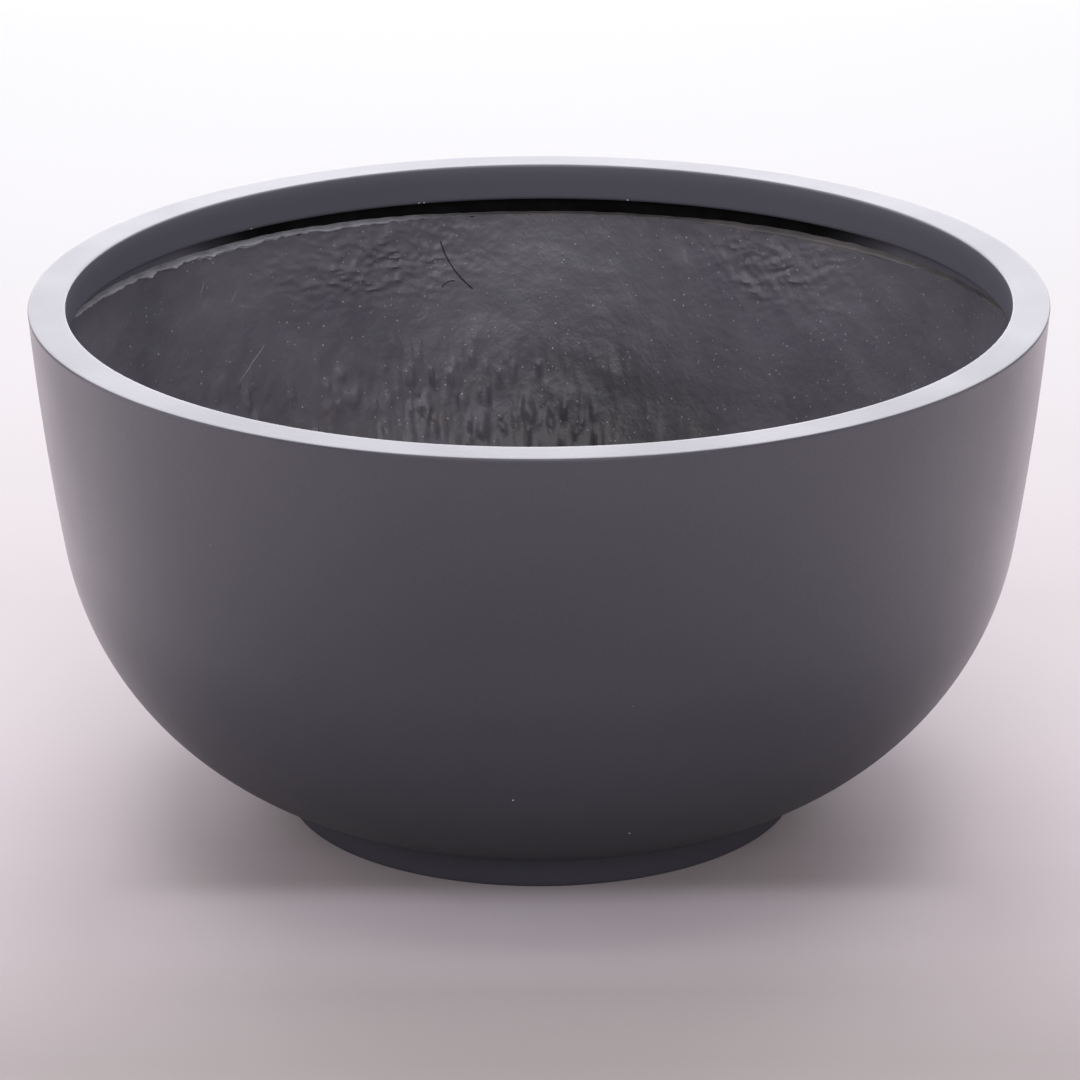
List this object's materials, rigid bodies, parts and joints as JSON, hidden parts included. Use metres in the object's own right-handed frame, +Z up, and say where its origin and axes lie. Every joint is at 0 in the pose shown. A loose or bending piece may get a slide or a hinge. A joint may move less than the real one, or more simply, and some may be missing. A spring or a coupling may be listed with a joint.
{
  "type": "bowl planter",
  "caption": "Round fiberglass bowl planter with a flat return rim, a rough hand-laid inside and a short foot ring.",
  "frame": {"origin": "centre of the foot ring's underside, on the floor", "axes": "+Z up along the bowl's axis; the bowl is round, so +X and +Y may point any way in plan"},
  "size_m": [0.5998, 0.5998, 0.3135],
  "materials": {
    "painted_outside": "satin charcoal paint on smooth moulded fiberglass",
    "painted_inside": "dull charcoal coat on rough hand-laid glass mat",
    "edge_putty": "thinly painted pale resin putty",
    "bonding_resin": "cured bonding resin, hidden"
  },
  "bodies": {
    "root": {"bowl_shell": "painted_outside", "rim_ring": "painted_outside", "rim_bond": "bonding_resin", "inner_laminate": "painted_inside", "edge_putty": "edge_putty", "foot_ring": "painted_outside", "foot_bond": "bonding_resin"}
  },
  "joints": []
}
